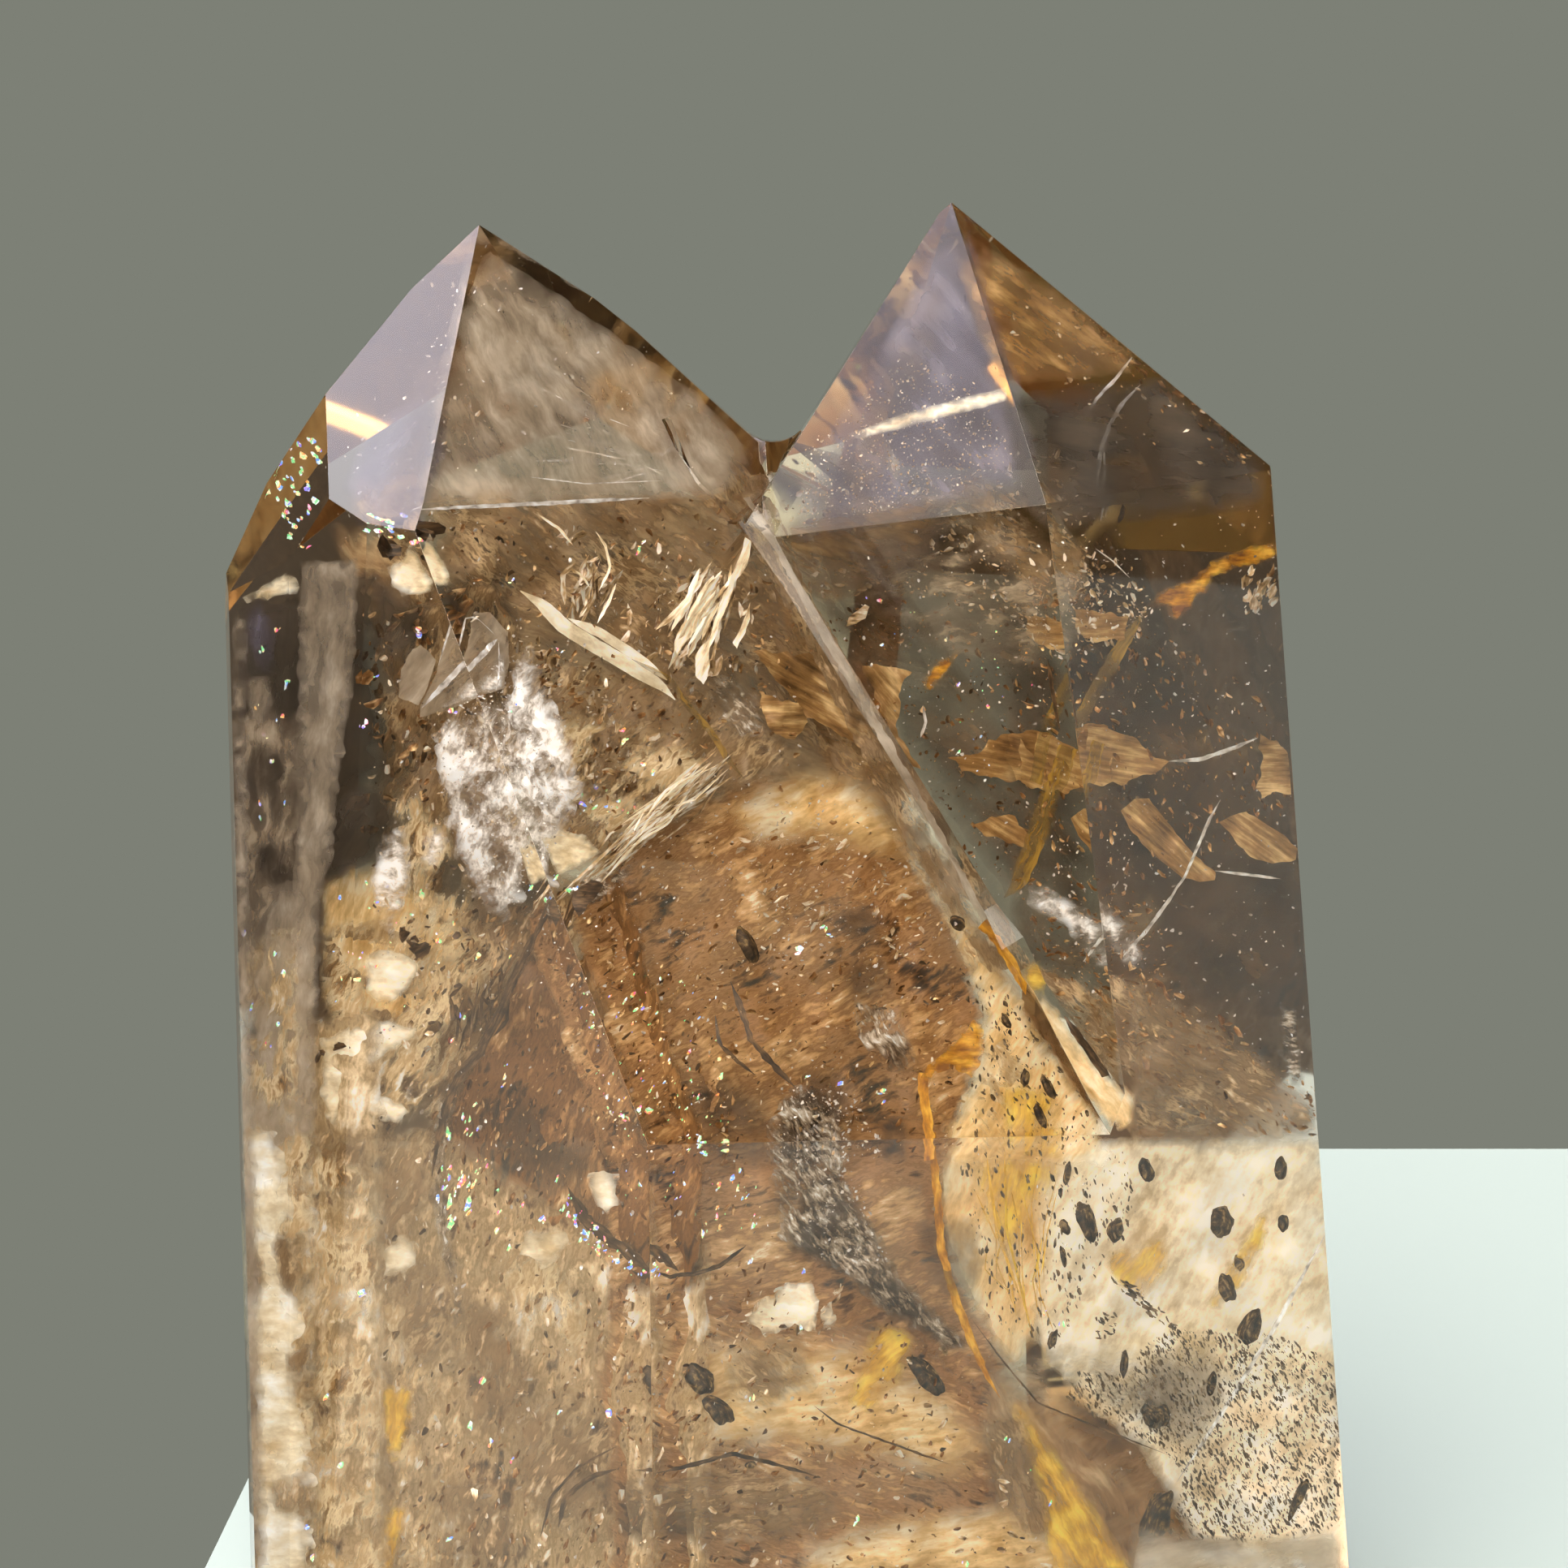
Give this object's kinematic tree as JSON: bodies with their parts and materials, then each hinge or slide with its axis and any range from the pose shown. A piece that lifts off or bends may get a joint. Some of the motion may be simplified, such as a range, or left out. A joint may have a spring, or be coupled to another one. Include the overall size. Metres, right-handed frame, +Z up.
{
  "type": "smoky citrine cathedral quartz crystal",
  "caption": "Polished smoky citrine crystal with twin points on a shared trunk, a slanting groove between them, a rounded saddle and a flat sawn base to stand on.",
  "frame": {"origin": "middle of the surrounding box on the sawn base", "axes": "+Z up along the points, +X towards the taller point, -Y towards the front with the slanting groove"},
  "size_m": [0.0656, 0.0398, 0.0823],
  "materials": {
    "smoky_quartz": "hand polished, see-through smoky brown"
  },
  "bodies": {
    "root": {"twin_point_crystal": "smoky_quartz"}
  },
  "joints": []
}
